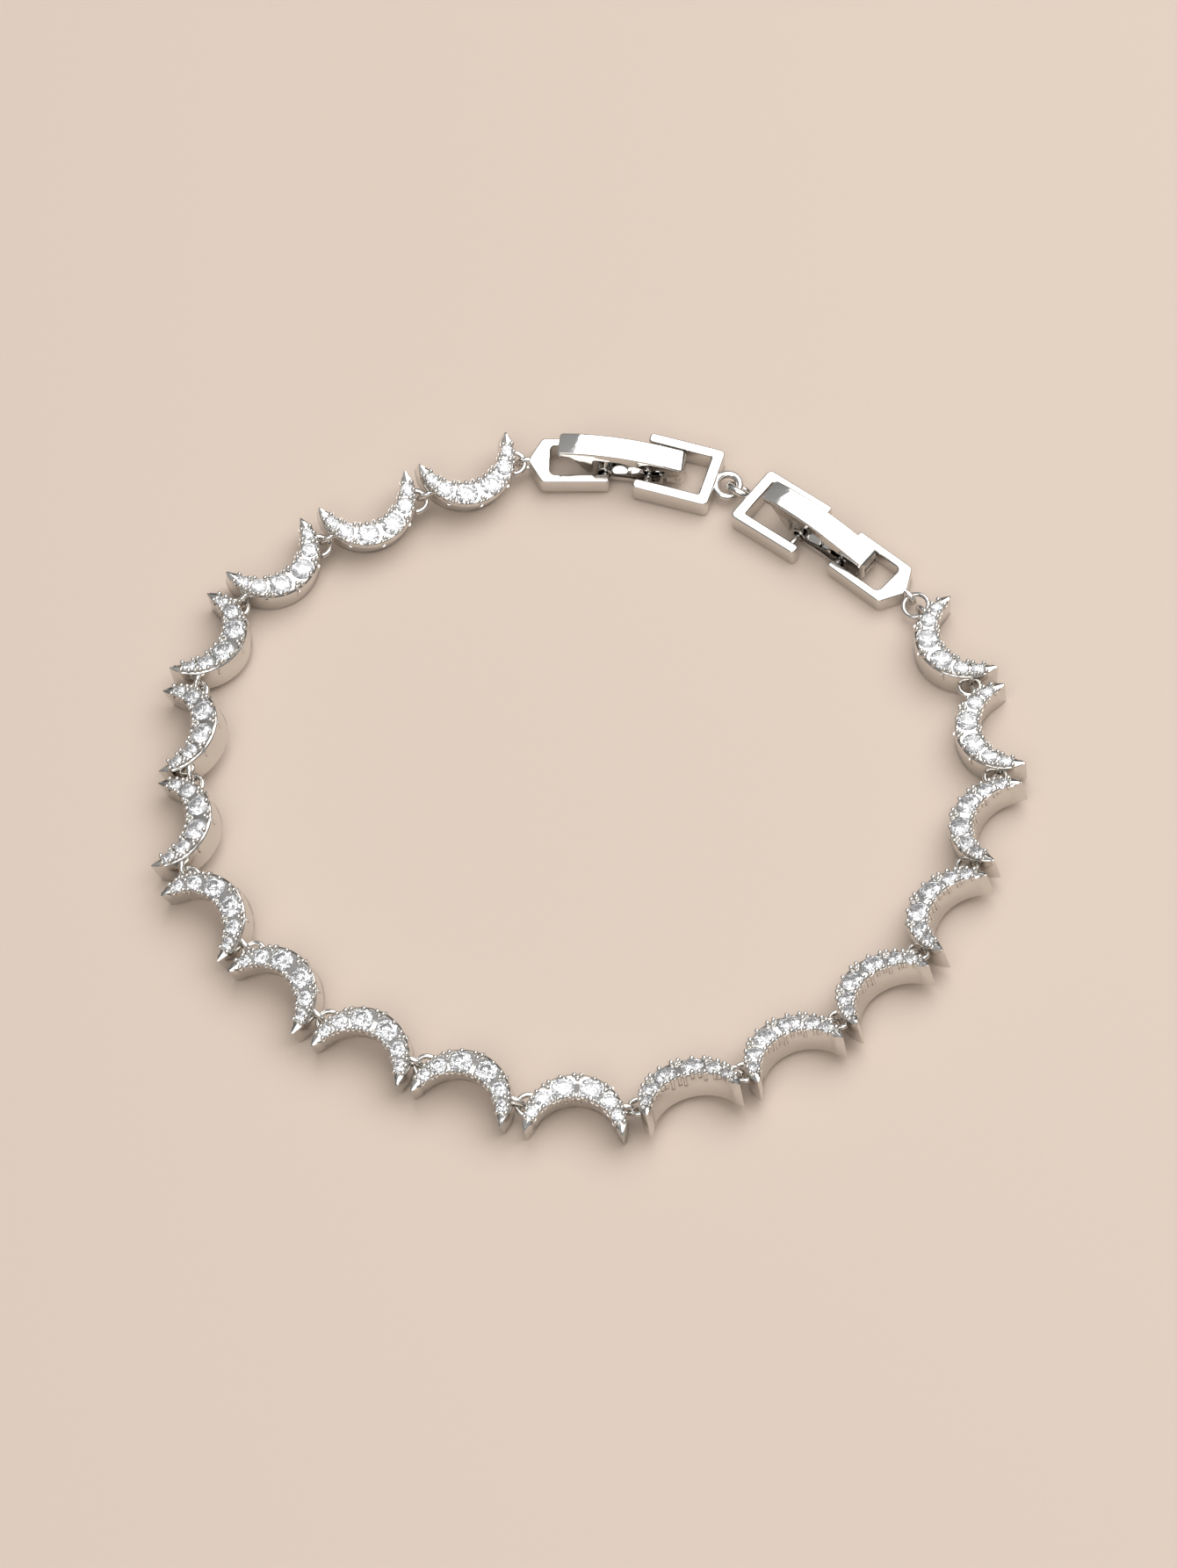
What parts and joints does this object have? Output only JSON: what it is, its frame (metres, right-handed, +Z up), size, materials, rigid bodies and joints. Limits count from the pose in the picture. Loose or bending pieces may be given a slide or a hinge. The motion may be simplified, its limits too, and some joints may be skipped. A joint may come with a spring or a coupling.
{
  "type": "link bracelet",
  "caption": "Closed crescent-link bracelet lying flat: paved crescent links hooked loop through eye, joined by two fold-over clasps with hinged levers.",
  "frame": {"origin": "on the surface that the bracelet lies on, at the middle of its outline", "axes": "+X along the longest side of the outline, +Y towards the clasps, +Z up from the surface"},
  "size_m": [0.0642, 0.0604, 0.0041],
  "materials": {
    "paved_silver": "bright polished plate, stone-set top",
    "silver": "bright polished plate",
    "stones": "clear faceted stones"
  },
  "bodies": {
    "bracelet": {"base_1": "silver", "base_2": "silver", "crescent_01": "paved_silver", "crescent_02": "paved_silver", "crescent_03": "paved_silver", "crescent_04": "paved_silver", "crescent_05": "paved_silver", "crescent_06": "paved_silver", "crescent_07": "paved_silver", "crescent_08": "paved_silver", "crescent_09": "paved_silver", "crescent_10": "paved_silver", "crescent_11": "paved_silver", "crescent_12": "paved_silver", "crescent_13": "paved_silver", "crescent_14": "paved_silver", "crescent_15": "paved_silver", "crescent_16": "paved_silver", "crescent_17": "paved_silver", "crescent_18": "paved_silver", "house_frame_1": "silver", "house_frame_2": "silver", "jump_ring": "silver", "square_frame_1": "silver", "square_frame_2": "silver"},
    "lever_1": {"lever_1": "silver"},
    "lever_2": {"lever_2": "silver"}
  },
  "joints": [
    {"name": "lever_1_hinge", "type": "hinge", "parent": "bracelet", "child": "lever_1", "pos_m": [0.00887, 0.02634, 0.00123], "axis": [0.2034, 0.9791, 0.0004], "range_deg": [0, 110]},
    {"name": "lever_2_hinge", "type": "hinge", "parent": "bracelet", "child": "lever_2", "pos_m": [0.02193, 0.01666, 0.00115], "axis": [0.6818, 0.7315, 0], "range_deg": [0, 110]}
  ]
}
